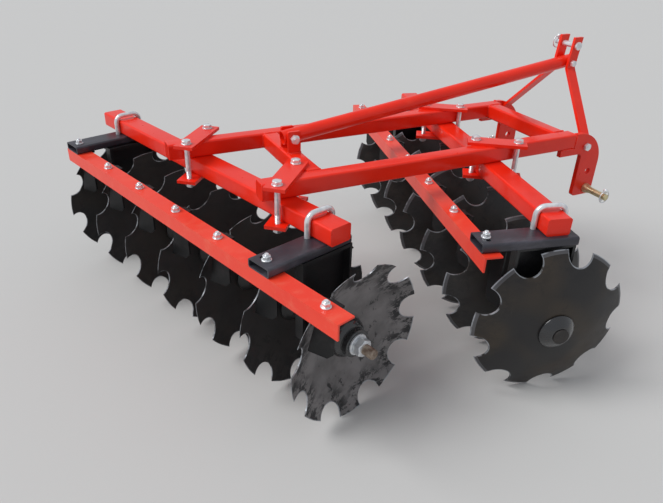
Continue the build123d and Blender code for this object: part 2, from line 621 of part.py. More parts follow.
def scraper(gang, bolt_s, rim_s):
    """Tab bolted under the bar, with a blade hanging beside the hollow face of its disc."""
    hollow = GANGS[gang]["hollow"]
    tab_top = ARM_BOTTOM - BAR_THICKNESS
    tab_start = ARM_REAR + BAR_THICKNESS + HOLE_CLEARANCE
    tab_length = blade_v() - tab_start
    tab = Pos(bolt_s, (tab_start + blade_v()) / 2, tab_top - SCRAPER_THICKNESS / 2) * Box(
        SCRAPER_TAB_WIDTH, tab_length, SCRAPER_THICKNESS)
    tab -= cylinder(BAR_BOLT_DIAMETER + HOLE_CLEARANCE, SCRAPER_THICKNESS,
                    bolt_s, bar_bolt_v(), tab_top - SCRAPER_THICKNESS)
    edge = blade_edge(gang, bolt_s, rim_s, tab_top)
    far = edge[0][0] + hollow * SCRAPER_BLADE_WIDTH
    corner = SCRAPER_BLADE_CORNER
    outline = Polygon(*edge, (far, tab_top), (far, SCRAPER_BLADE_BOTTOM + corner),
                      (far - hollow * corner, SCRAPER_BLADE_BOTTOM), align=None)
    plane = Plane(origin=(0, 0, 0), x_dir=(1, 0, 0), z_dir=(0, -1, 0))
    blade = prism(plane, outline, SCRAPER_THICKNESS)
    blade = Pos(bolt_s, blade_v(), 0) * Rot(0, 0, SCRAPER_BLADE_TURN) * blade
    return gang_frame(gang) * (tab + blade)


def disc_body():
    """Dished disc, hollow upwards, with a bevelled rim, round notches and a square hole."""
    rim_low = DISC_DEPTH + DISC_THICKNESS - EDGE_THICKNESS
    bevel_radius = DISC_RADIUS - BEVEL_WIDTH
    middle = (DISC_FLAT_RADIUS + bevel_radius) / 2
    back = [(DISC_FLAT_RADIUS, 0), (middle, dish_height(middle)), (bevel_radius, dish_height(bevel_radius))]
    front_middle = (DISC_FLAT_RADIUS + DISC_RADIUS) / 2
    front = [(DISC_RADIUS, DISC_DEPTH + DISC_THICKNESS),
             (front_middle, dish_height(front_middle) + DISC_THICKNESS),
             (DISC_FLAT_RADIUS, DISC_THICKNESS)]
    outline = Line((0, 0), back[0])
    outline += ThreePointArc(*back)
    outline += Line(back[-1], (DISC_RADIUS, rim_low))
    outline += Line((DISC_RADIUS, rim_low), front[0])
    outline += ThreePointArc(*front)
    outline += Line(front[-1], (0, DISC_THICKNESS))
    outline += Line((0, DISC_THICKNESS), (0, 0))
    body = revolve(Plane.XZ * make_face(outline), Axis.Z)
    notches = PolarLocations(NOTCH_CENTRE, NOTCH_COUNT)
    body -= notches * cylinder(2 * NOTCH_RADIUS, DISC_DEPTH + DISC_THICKNESS)
    return body - extrude(Rectangle(AXLE_SQUARE + AXLE_FIT, AXLE_SQUARE + AXLE_FIT), DISC_THICKNESS)


def discs(gang):
    """The gang's discs from left to right, each at its own quarter turn on the square bar."""
    body = disc_body()
    return [axle_frame(gang) * Pos(0, 0, hub_height(gang, rim_s)) * Rot(0, 0, 90 * turn) * body
            for rim_s, turn in zip(rim_positions(gang), GANGS[gang]["turns"])]


def spool():
    """Cast spool that spaces two discs, with a flange seated on each of their flat middles."""
    body = SPOOL_DIAMETER / 2
    flange = SPOOL_FLANGE_DIAMETER / 2
    rim = SPOOL_FLANGE_THICKNESS
    taper = rim + SPOOL_TAPER_LENGTH
    outline = Polygon((0, 0), (flange, 0), (flange, rim), (body, taper), (body, SPOOL_LENGTH - taper),
                      (flange, SPOOL_LENGTH - rim), (flange, SPOOL_LENGTH), (0, SPOOL_LENGTH), align=None)
    solid = revolve(Plane.XZ * outline, Axis.Z)
    return solid - extrude(Rectangle(AXLE_SQUARE + AXLE_FIT, AXLE_SQUARE + AXLE_FIT), SPOOL_LENGTH)


def spools(gang):
    heights = sorted(hub_height(gang, rim_s) for rim_s in rim_positions(gang))
    body = spool()
    return [axle_frame(gang) * Pos(0, 0, z + DISC_THICKNESS) * body for z in heights[:-1]]


def hollow_end_height(gang):
    return max(hub_height(gang, rim_s) for rim_s in rim_positions(gang)) + DISC_THICKNESS


def back_end_height(gang):
    return min(hub_height(gang, rim_s) for rim_s in rim_positions(gang))


def end_bell(gang):
    """Bulging casting on the hollow side of the last disc, necked where the axle nut pulls on it."""
    wide = DISC_FLAT_RADIUS
    shoulder = END_BELL_SHOULDER_DIAMETER / 2
    neck = shoulder - END_BELL_SHOULDER_STEP
    outline = Line((0, 0), (wide, 0))
    outline += Line((wide, 0), (wide, END_BELL_RIM))
    outline += RadiusArc((wide, END_BELL_RIM), (shoulder, END_BELL_SHOULDER_HEIGHT), -END_BELL_BULGE)
    outline += Polyline((shoulder, END_BELL_SHOULDER_HEIGHT), (neck, END_BELL_SHOULDER_HEIGHT),
                        (neck, END_BELL_LENGTH), (0, END_BELL_LENGTH), (0, 0))
    bell = revolve(Plane.XZ * make_face(outline), Axis.Z)
    bell -= extrude(Rectangle(AXLE_SQUARE + AXLE_FIT, AXLE_SQUARE + AXLE_FIT), END_BELL_LENGTH)
    return axle_frame(gang) * Pos(0, 0, hollow_end_height(gang)) * bell


def end_cap(gang):
    """Domed casting on the bulging side of the last disc, under the axle's head."""
    half = END_CAP_DIAMETER / 2
    flat = AXLE_HEAD_DIAMETER / 2 + END_CAP_RIM
    outline = Line((0, 0), (half, 0))
    outline += Line((half, 0), (half, -END_CAP_RIM))
    outline += RadiusArc((half, -END_CAP_RIM), (flat, -END_CAP_HEIGHT), END_CAP_DOME_RADIUS)
    outline += Line((flat, -END_CAP_HEIGHT), (0, -END_CAP_HEIGHT))
    outline += Line((0, -END_CAP_HEIGHT), (0, 0))
    cap = revolve(Plane.XZ * make_face(outline), Axis.Z)
    hole = Rectangle(AXLE_SQUARE + AXLE_FIT, AXLE_SQUARE + AXLE_FIT)
    cap -= extrude(Pos(0, 0, -END_CAP_HEIGHT) * hole, END_CAP_HEIGHT)
    return axle_frame(gang) * Pos(0, 0, back_end_height(gang)) * cap


def axle(gang):
    """Square bar with a round head at the bulging end and a thread and nut at the hollow end."""
    head_z = back_end_height(gang) - END_CAP_HEIGHT
    washer_z = hollow_end_height(gang) + END_BELL_LENGTH
    nut_z = washer_z + AXLE_WASHER_THICKNESS
    bar = extrude(Pos(0, 0, head_z) * Rectangle(AXLE_SQUARE, AXLE_SQUARE), washer_z - head_z)
    bar += cylinder(AXLE_HEAD_DIAMETER, AXLE_HEAD_HEIGHT, z=head_z - AXLE_HEAD_HEIGHT)
    bar += cylinder(AXLE_THREAD_DIAMETER, nut_z - washer_z + AXLE_NUT_HEIGHT + AXLE_END_STUD, z=washer_z)
    bar += cylinder(AXLE_WASHER_DIAMETER, AXLE_WASHER_THICKNESS, z=washer_z)
    bar += hexagon(AXLE_NUT_FLATS, AXLE_NUT_HEIGHT, z=nut_z)
    return axle_frame(gang) * bar


def build():
    """Every node's solids by name, in the working frame."""
    nodes = {}
    for name, side in (("right", 1), ("left", -1)):
        nodes[f"main_tube_{name}"] = [main_tube(side)]
        nodes[f"hitch_plate_{name}"] = [hitch_plate(side)]
        nodes[f"mast_strap_{name}"] = [mast_strap(side)]
        nodes[f"lower_link_pin_{name}"] = [lower_link_pin(side)]
    nodes["front_crossmember"] = [crossmember(FRONT_CROSSMEMBER_Y)]
    nodes["rear_crossmember"] = [crossmember(REAR_CROSSMEMBER_Y)]
    nodes["stay_tube"] = [stay_tube()]
    nodes["stay_lug"] = stay_lug()
    nodes["stay_bolts"] = stay_bolts()
    nodes["strap_foot_bolts"] = strap_foot_bolts()
    nodes["top_link_pin"] = [top_link_pin()]
    for gang in GANGS:
        clamps = [row for row in CLAMPS if row[0] == gang]
        arms = [row for row in ARMS if row[0] == gang]
        nodes[f"{gang}_gang_beam"] = [gang_beam(gang)]
        nodes[f"{gang}_clamp_plates"] = [plate for row in clamps for plate in clamp_plates(row)]
        nodes[f"{gang}_clamp_bolts"] = [bolt for row in clamps for bolt in clamp_bolts(row)]
        nodes[f"{gang}_scraper_bar"] = [scraper_bar(gang)]
        nodes[f"{gang}_bar_bolts"] = bar_bolts(gang)
        nodes[f"{gang}_scrapers"] = [scraper(gang, bolt_s, rim_s) for bolt_s, rim_s
                                     in zip(bolt_positions(gang), rim_positions(gang))]
        for row in arms:
            nodes[f"{gang}_arm_{row[1]}"] = [arm(row)]
        nodes[f"{gang}_u_bolts"] = [u_bolt(row) for row in arms]
        nodes[f"{gang}_hangers"] = [hanger(row) for row in arms]
        nodes[f"{gang}_bearing_housings"] = [bearing_housing(row) for row in arms]
        for number, solid in enumerate(discs(gang), 1):
            nodes[f"{gang}_disc_{number}"] = [solid]
        nodes[f"{gang}_spools"] = spools(gang)
        nodes[f"{gang}_end_bell"] = [end_bell(gang)]
        nodes[f"{gang}_end_cap"] = [end_cap(gang)]
        nodes[f"{gang}_axle"] = [axle(gang)]
    return nodes


def to_origin(nodes):
    """Move that brings the origin under the middle of the model's box."""
    boxes = [solid.bounding_box() for solids in nodes.values() for solid in solids]
    middle_x = (min(box.min.X for box in boxes) + max(box.max.X for box in boxes)) / 2
    middle_y = (min(box.min.Y for box in boxes) + max(box.max.Y for box in boxes)) / 2
    return Pos(-middle_x, -middle_y, 0)


NODES = build()
SHIFT = to_origin(NODES)
os.makedirs("parts", exist_ok=True)
for name, solids in NODES.items():
    export_step(Compound(children=[SHIFT * solid for solid in solids]), f"parts/{name}.step")
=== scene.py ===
# %% [markdown]
# # A mounted disc harrow, dressed for its portrait
# The harrow's solids come from CAD and hold every real size. This file gives them what a
# camera sees: enamel, scuffed steel, zinc, rounded edges, weld beads, threads and linchpins.

# %% Load the solids
import json
from math import cos, pi, radians, sin, tan

import bmesh
import bpy
import numpy as np
from mathutils import Matrix, Vector

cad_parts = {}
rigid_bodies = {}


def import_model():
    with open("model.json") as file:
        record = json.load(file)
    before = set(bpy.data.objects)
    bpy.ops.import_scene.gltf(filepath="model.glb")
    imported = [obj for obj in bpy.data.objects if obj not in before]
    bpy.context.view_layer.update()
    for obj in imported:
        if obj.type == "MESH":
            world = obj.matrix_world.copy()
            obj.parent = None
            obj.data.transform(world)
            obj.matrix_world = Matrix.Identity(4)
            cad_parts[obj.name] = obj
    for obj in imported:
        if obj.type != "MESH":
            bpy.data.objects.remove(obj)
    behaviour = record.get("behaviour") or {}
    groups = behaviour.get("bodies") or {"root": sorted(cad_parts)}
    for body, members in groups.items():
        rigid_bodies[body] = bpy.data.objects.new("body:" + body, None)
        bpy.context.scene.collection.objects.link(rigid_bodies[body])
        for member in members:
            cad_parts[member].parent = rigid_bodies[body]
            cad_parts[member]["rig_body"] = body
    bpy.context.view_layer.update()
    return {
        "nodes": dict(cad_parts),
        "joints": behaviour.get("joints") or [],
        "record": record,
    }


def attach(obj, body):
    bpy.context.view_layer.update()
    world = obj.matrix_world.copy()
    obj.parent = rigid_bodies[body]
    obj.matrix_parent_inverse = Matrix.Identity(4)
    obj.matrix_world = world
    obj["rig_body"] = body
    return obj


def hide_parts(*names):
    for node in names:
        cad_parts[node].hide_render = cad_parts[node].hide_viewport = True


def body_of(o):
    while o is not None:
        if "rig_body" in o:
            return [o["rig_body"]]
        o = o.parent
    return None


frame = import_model()
scene = bpy.context.scene
MM = 0.001

# %% [markdown]
# ## Where things are
# All solids share one frame: metres, x to the machine's right, y forwards and z up. A node's
# points say where it is, and the two joints say how each gang lies in that frame: `s` runs
# along the axle, `v` across it, and both are level. A node may hold
# several solids, such as seven bolts. Triangles that share a point belong together, so giving
# each triangle's three points the lowest label among them, again and again, sorts them out.

# %% Read points, gangs and solids
GANGS = {joint["child"].split("_")[0]: joint for joint in frame["joints"]}


def node_points(node):
    """Points of a node's mesh as one array."""
    mesh = frame["nodes"][node].data
    points = np.empty(len(mesh.vertices) * 3, np.float32)
    mesh.vertices.foreach_get("co", points)
    return points.reshape(-1, 3).astype(float)


def merged(node):
    """Points and triangles of a node, with the points that lie on each other made one."""
    mesh = frame["nodes"][node].data
    loops = np.empty(len(mesh.loops), np.int32)
    mesh.loops.foreach_get("vertex_index", loops)
    points, which = np.unique(np.round(node_points(node), 6), axis=0, return_inverse=True)
    return points, which.reshape(-1)[loops].reshape(-1, 3)


def solids(node):
    """Points of each separate solid of a node."""
    points, triangles = merged(node)
    label = np.arange(len(points))
    settled = False
    while not settled:
        lowest = label.copy()
        np.minimum.at(lowest, triangles.ravel(), np.repeat(label[triangles].min(axis=1), 3))
        lowest = lowest[lowest]
        settled = (lowest == label).all()
        label = lowest
    return [points[label == one] for one in np.unique(label)]


def box_of(points):
    """Lowest and highest corner of the points."""
    return points.min(axis=0), points.max(axis=0)


def gang_matrix(gang):
    """From the gang's own s, v, z, counted from its axle on the floor, to the shared frame."""
    along = Vector(GANGS[gang]["axis"])
    place = Vector(GANGS[gang]["pos_m"])
    across = Vector((-along.y, along.x, 0))
    turn = Matrix((along, across, (0, 0, 1))).transposed().to_4x4()
    return Matrix.Translation((place.x, place.y, 0)) @ turn


def in_gang(gang, points):
    """Points of the shared frame in the gang's own s, v, z."""
    back = np.array(gang_matrix(gang).inverted())
    return points @ back[:3, :3].T + back[:3, 3]


AXLE_Z = GANGS["rear"]["pos_m"][2]
print("axle height", AXLE_Z, "solids in rear_bar_bolts", len(solids("rear_bar_bolts")))

# %% [markdown]
# ## The camera
# The view was worked out once from the frame's own right angles and parallel tubes in the
# photograph: how far the camera stands from the rear axle, how it turns and tips, and its
# focal length. Tying its place to the axle keeps the view if the origin is ever moved.

# %% Camera
CAMERA_FROM_AXLE = Vector((1.60865, -0.48448, 1.00501))
CAMERA_YAW = radians(63.24)
CAMERA_PITCH = radians(-29.65)
CAMERA_ROLL = radians(1.81)
PHOTO_WIDTH = 663
FOCAL_PIXELS = 607.7
SENSOR_WIDTH = 36.0

camera_data = bpy.data.cameras.new("camera")
camera_data.sensor_width = SENSOR_WIDTH
camera_data.lens = FOCAL_PIXELS / PHOTO_WIDTH * SENSOR_WIDTH
camera = bpy.data.objects.new("camera", camera_data)
scene.collection.objects.link(camera)
camera.matrix_world = (Matrix.Translation(Vector(GANGS["rear"]["pos_m"]) + CAMERA_FROM_AXLE)
                       @ Matrix.Rotation(CAMERA_YAW, 4, "Z")
                       @ Matrix.Rotation(pi / 2 + CAMERA_PITCH, 4, "X")
                       @ Matrix.Rotation(CAMERA_ROLL, 4, "Z"))
scene.camera = camera
scene.view_settings.view_transform = "Standard"
print("lens", round(camera_data.lens, 2), "mm")

# %% [markdown]
# ## Shader maths as Python
# A finish is a small formula: grime where noise is high, bright steel where an edge is near.
# Wiring Math nodes by hand hides the formula, so one class wraps a socket and turns Python's
# operators into nodes. A second class owns the material and adds every other kind of node.

# %% Field and Finish
class Field:
    """A value that varies over a surface. Arithmetic on it adds Math nodes."""

    def __init__(self, finish, socket):
        self.finish = finish
        self.socket = socket

    def maths(self, operation, *values):
        """A Math node of that operation, with the values as its inputs."""
        return self.finish.node("ShaderNodeMath", {"operation": operation}, dict(enumerate(values)))

    def __add__(self, other):
        return self.maths("ADD", self, other)

    def __sub__(self, other):
        return self.maths("SUBTRACT", self, other)

    def __rsub__(self, other):
        return self.maths("SUBTRACT", other, self)

    def __mul__(self, other):
        return self.maths("MULTIPLY", self, other)

    def __pow__(self, other):
        return self.maths("POWER", self, other)

    def __abs__(self):
        return self.maths("ABSOLUTE", self)

    __radd__ = __add__
    __rmul__ = __mul__

    def low_of(self, other):
        return self.maths("MINIMUM", self, other)

    def high_of(self, other):
        return self.maths("MAXIMUM", self, other)

    def rise(self, low, high):
        """0 below low, 1 above high and smooth between; falling if low is above high."""
        return self.finish.node("ShaderNodeMapRange", {"interpolation_type": "SMOOTHSTEP"},
                                {"Value": self, "From Min": low, "From Max": high})


class Finish:
    """A material and the nodes that feed its Principled shader."""

    def __init__(self, name, **constants):
        self.material = bpy.data.materials.new(name)
        self.material.use_nodes = True
        self.tree = self.material.node_tree
        self.shader = self.tree.nodes["Principled BSDF"]
        self.place = self.node("ShaderNodeTexCoord", output="Object")
        for socket, value in constants.items():
            self.feed(self.shader, socket.replace("_", " "), value)

    def feed(self, node, socket, value):
        """Link a field to a socket, or set a constant straight on it."""
        if isinstance(value, Field):
            self.tree.links.new(value.socket, node.inputs[socket])
        else:
            node.inputs[socket].default_value = value

    def node(self, kind, settings=None, inputs=None, output=0):
        """Any node: its type, its settings, what its inputs take and which output to use."""
        made = self.tree.nodes.new(kind)
        for name, value in (settings or {}).items():
            setattr(made, name, value)
        for socket, value in (inputs or {}).items():
            self.feed(made, socket, value)
        return Field(self, made.outputs[output])

    def mix(self, share, first, second):
        """Colour that goes from first to second as share goes from 0 to 1."""
        return self.node("ShaderNodeMix", {"data_type": "RGBA"}, {0: share, 6: first, 7: second}, 2)

    def noise(self, size, detail=3.0, roughness=0.55, place=None, stretch=None):
        """Cloudy pattern from 0 to 1 whose blotches are about size metres across."""
        place = place or self.place
        if stretch:
            place = self.node("ShaderNodeMapping", inputs={"Vector": place, "Scale": stretch})
        return self.node("ShaderNodeTexNoise", inputs={
            "Vector": place, "Scale": 1 / size, "Detail": detail, "Roughness": roughness})

    def parts(self, vector):
        """The x, y and z of a vector."""
        return [self.node("ShaderNodeSeparateXYZ", inputs={0: vector}, output=n) for n in range(3)]

    def bump(self, height, depth, strength=1.0):
        """Normals of a relief that is depth metres deep where height goes from 0 to 1."""
        return self.node("ShaderNodeBump", inputs={
            "Height": height, "Distance": depth, "Strength": strength})


def srgb(red, green, blue):
    """Colour of a screen value from 0 to 255, as the linear values that shaders take."""
    values = np.array((red, green, blue)) / 255
    linear = np.where(values <= 0.04045, values / 12.92, ((values + 0.055) / 1.055) ** 2.4)
    return (*linear.tolist(), 1.0)


print("shader helpers ready, mid grey is", round(srgb(128, 128, 128)[0], 3))

# %% [markdown]
# ## Light and floor
# The light is a bright, soft sky, a little stronger from behind the harrow and from its left.
# A wide sun lamp and an even world make it. The camera and shiny surfaces see a slightly
# brighter sky than the one that lights the rest, so the enamel's top faces keep a pale sheen.

# %% World, sun and floor
SKY_LIGHT = 0.52
SKY_SHEEN = 0.62
SKY_COLOUR = srgb(236, 240, 246)
SUN_STRENGTH = 2.1
SUN_WIDTH = radians(34)
SUN_AZIMUTH = radians(-16)
SUN_HEIGHT = radians(50)
FLOOR_SIZE = 60.0
FLOOR_COLOUR = srgb(203, 202, 200)

world = bpy.data.worlds.new("sky")
scene.world = world
world.use_nodes = True
sky = world.node_tree
rays = sky.nodes.new("ShaderNodeLightPath")
seen = sky.nodes.new("ShaderNodeMath")
seen.operation = "MAXIMUM"
sky.links.new(rays.outputs["Is Camera Ray"], seen.inputs[0])
sky.links.new(rays.outputs["Is Glossy Ray"], seen.inputs[1])
power = sky.nodes.new("ShaderNodeMapRange")
sky.links.new(seen.outputs[0], power.inputs["Value"])
power.inputs["To Min"].default_value = SKY_LIGHT
power.inputs["To Max"].default_value = SKY_SHEEN
background = sky.nodes["Background"]
background.inputs["Color"].default_value = SKY_COLOUR
sky.links.new(power.outputs[0], background.inputs["Strength"])

sun_data = bpy.data.lights.new("sun", "SUN")
sun_data.energy = SUN_STRENGTH
sun_data.angle = SUN_WIDTH
sun = bpy.data.objects.new("sun", sun_data)
scene.collection.objects.link(sun)
sun.rotation_euler = (pi / 2 - SUN_HEIGHT, 0, SUN_AZIMUTH)

half_floor = FLOOR_SIZE / 2
floor_mesh = bpy.data.meshes.new("floor")
floor_mesh.from_pydata([(-half_floor, -half_floor, 0), (half_floor, -half_floor, 0),
                        (half_floor, half_floor, 0), (-half_floor, half_floor, 0)], [], [(0, 1, 2, 3)])
floor = bpy.data.objects.new("floor", floor_mesh)
scene.collection.objects.link(floor)
floor_finish = Finish("floor", Base_Color=FLOOR_COLOUR, Roughness=0.9)
floor_mesh.materials.append(floor_finish.material)
print("floor", FLOOR_SIZE, "m square")

# %% [markdown]
# ## Red enamel
# Sprayed enamel is never one flat red. Seen close it has the faint ripple of orange peel,
# broad clouds where the coat is thinner, and a film of yard dust. The gloss is a clear coat
# over the colour, so that highlights stay white while the paint stays red. The scraper bars
# have a paler and duller coat of the same kind.

# %% Enamel
ENAMEL = srgb(248, 44, 18)
ENAMEL_DEEP = srgb(232, 34, 16)
ENAMEL_WORN = srgb(246, 96, 74)
BAR_RED = srgb(246, 68, 44)
BAR_RED_DEEP = srgb(240, 54, 34)
BAR_RED_WORN = srgb(238, 128, 104)
PEEL_DEPTH = 0.16 * MM


def enamel(name, colour, deep, worn, dust, gloss):
    """Painted steel: clouds of tone, streaks of wear and the ripple of a sprayed coat."""
    finish = Finish(name, Specular_IOR_Level=0.22, Coat_Roughness=0.14)
    clouds = finish.noise(0.16, 4).rise(0.35, 0.7)
    grime = finish.noise(0.045, 6, 0.65, stretch=(1, 0.45, 1)).rise(0.5, 0.86)
    tone = finish.mix(clouds * 0.6, colour, deep)
    finish.feed(finish.shader, "Base Color", finish.mix(grime * dust, tone, worn))
    finish.feed(finish.shader, "Roughness", finish.noise(0.02, 3) * 0.12 + grime * 0.15 + gloss)
    finish.feed(finish.shader, "Coat Weight", 0.34 - grime * 0.2)
    ripple = finish.noise(0.0035, 1) * 0.7 + finish.noise(0.02, 2) * 0.3
    finish.feed(finish.shader, "Normal", finish.bump(ripple, PEEL_DEPTH))
    return finish.material


frame_red = enamel("frame_red", ENAMEL, ENAMEL_DEEP, ENAMEL_WORN, 0.30, 0.24)
bar_red = enamel("bar_red", BAR_RED, BAR_RED_DEEP, BAR_RED_WORN, 0.6, 0.34)
print("enamel", frame_red.name, bar_red.name)

# %% [markdown]
# ## Dark paint on arms and castings
# The two cross arms of each gang keep the blue-grey look of thinly painted mill steel, with
# long smears along them. Cast pieces are black over a slightly rough skin, with a clear gloss
# on the end bells and end caps. The scrapers are the dullest.

# %% Dark paints
def smeared(name, colour, smear, gloss, rough, skin, shine=0.5, coat=0.0):
    """Thin dark paint with pale smears and the uneven skin of the metal under it."""
    finish = Finish(name, Specular_IOR_Level=shine, Coat_Weight=coat, Coat_Roughness=0.1)
    smears = finish.noise(0.05, 5, 0.6, stretch=(1, 0.35, 1)).rise(0.48, 0.8)
    finish.feed(finish.shader, "Base Color", finish.mix(smears * 0.75, colour, smear))
    finish.feed(finish.shader, "Roughness", gloss + smears * 0.16 + finish.noise(0.012, 3) * rough)
    finish.feed(finish.shader, "Normal", finish.bump(finish.noise(0.004, 3), skin))
    return finish.material


arm_grey = smeared("arm_grey", srgb(50, 49, 57), srgb(98, 96, 106), 0.30, 0.14, 0.00015)
cast_black = smeared("cast_black", srgb(28, 28, 30), srgb(48, 47, 46), 0.26, 0.16, 0.0005)
gloss_black = smeared("gloss_black", srgb(24, 24, 27), srgb(40, 40, 44), 0.2, 0.12, 0.0004, coat=0.8)
scraper_black = smeared("scraper_black", srgb(25, 25, 26), srgb(54, 50, 51), 0.42, 0.16, 0.0002, 0.25)
print("dark paints", arm_grey.name, cast_black.name, scraper_black.name)

# %% [markdown]
# ## Zinc and bare steel
# Plated bolts are pale metal with a faint blue, never a mirror: soft blotches change their tone
# and how much they scatter. The lower link pins have the yellow plate of hitch parts, and the
# stud at the end of an axle is bare steel gone brown.

# %% Plated metal
def plated(name, light, dark, rough, metallic):
    """Pale metal with soft blotches of a darker tone and a slightly uneven gloss."""
    finish = Finish(name, Metallic=metallic)
    blotch = finish.noise(0.014, 3, 0.5)
    finish.feed(finish.shader, "Base Color", finish.mix(blotch.rise(0.3, 0.75), light, dark))
    finish.feed(finish.shader, "Roughness", rough + finish.noise(0.005, 2) * 0.12)
    finish.feed(finish.shader, "Normal", finish.bump(finish.noise(0.003, 1), 0.00003))
    return finish.material


zinc = plated("zinc", srgb(246, 248, 249), srgb(214, 218, 224), 0.16, 0.5)
yellow_zinc = plated("yellow_zinc", srgb(222, 214, 172), srgb(196, 174, 132), 0.24, 0.7)
bare_steel = plated("bare_steel", srgb(170, 156, 142), srgb(112, 92, 78), 0.34, 0.8)
print("plated metals", zinc.name, yellow_zinc.name, bare_steel.name)

# %% [markdown]
# ## Disc faces
# Each disc is thin black paint over rolled steel, whose brown shows through in places. Stacking
# and shipping rubbed it: broad grey clouds, dark brush-like dabs that crowd the edge, scratches,
# and bright lips where the rim was ground and the notches cut. A lip is bare steel, and its pale
# blue-white is also a painted highlight that stands in for the sky reflected along the cut edge.
# The bevel ground on the bulged side is paler, and the surface's own normal tells that side from
# the hollow one.
# To find a lip the shader needs the disc's own round coordinates, so a Mapping node undoes
# the disc's place and turn. Folding the angle onto one notch lets a single circle serve all
# nine: the distance to that circle says how near the cut edge is.

# %% Disc sizes and places
DISC_COUNT = 7
NOTCHES = 9
FOLD = 2 * pi / NOTCHES


def disc_sizes(gang, number):
    """Radius of a disc and where its near and far planes lie along s."""
    low, high = box_of(in_gang(gang, node_points(f"{gang}_disc_{number}")))
    return (high[1] - low[1]) / 2, low[0], high[0]


def notch_angle(rim):
    """Direction of one notch: rim points fill the lobes, so the mean of e^(9i angle) points
    at a lobe's middle, and a notch lies half a fold further on."""
    x, y = rim.T
    lobe = np.angle(np.exp(1j * NOTCHES * np.arctan2(y, x)).mean()) / NOTCHES
    return lobe + FOLD / 2


DISC_RADIUS = disc_sizes("rear", 1)[0]
RIM_DEPTH = 0.5 * MM
BULGE = {"rear": -1, "front": 1}


def disc_place(gang, number):
    """Centre of a disc and the turn from its own axes to the shared frame: its x axis points at a
    notch and its z axis lies along the axle."""
    _, near, far = disc_sizes(gang, number)
    centre = gang_matrix(gang) @ Vector(((near + far) / 2, 0, AXLE_Z))
    along = Vector(GANGS[gang]["axis"])
    down = Vector((0, 0, -1))
    turn = Matrix((down, along.cross(down), along)).transposed()
    flat = (node_points(f"{gang}_disc_{number}") - np.array(centre)) @ np.array(turn)
    rim = flat[np.hypot(flat[:, 0], flat[:, 1]) > DISC_RADIUS - RIM_DEPTH, :2]
    return centre, turn @ Matrix.Rotation(notch_angle(rim), 3, "Z")


print("disc radius", round(DISC_RADIUS, 4))

# %% Disc finish
NOTCH_CENTRE = DISC_RADIUS - 5 * MM
NOTCH_RADIUS = 40 * MM
BEVEL_WIDTH = 9.0 * MM
BEVEL_BLUR = 0.4 * MM
LIP_HIGHLIGHT_FADE = (2.6 * MM, 0.4 * MM)
EDGE_DAB_FADE = (55 * MM, 12 * MM)
PATTERN_STEP = 1.7
DISC_BLACK = srgb(23, 22, 23)
RUBBED_GREY = srgb(134, 130, 130)
MILL_BROWN = srgb(64, 54, 42)
DAB_BLACK = srgb(20, 20, 24)
SCRATCH_GREY = srgb(142, 138, 134)
GROUND_GREY = srgb(104, 104, 108)
# bare steel of the cut edge, made pale and bluish as a painted highlight of the sky along it
LIP_STEEL_HIGHLIGHT = srgb(186, 190, 196)


def edge_distances(finish, own):
    """Distance inwards from the full circle of the rim, and the smaller of that and the distance
    to the notch's circle, with the angle folded onto one notch."""
    x, y, _ = finish.parts(own)
    radius = (x * x + y * y) ** 0.5
    angle = y.maths("ARCTAN2", y, x)
    folded = abs(angle.maths("WRAP", angle, FOLD / 2, -FOLD / 2))
    away_x = radius * folded.maths("COSINE", folded) - NOTCH_CENTRE
    away_y = radius * folded.maths("SINE", folded)
    from_notch = (away_x * away_x + away_y * away_y) ** 0.5 - NOTCH_RADIUS
    from_rim = DISC_RADIUS - radius
    return from_rim, from_notch.low_of(from_rim)


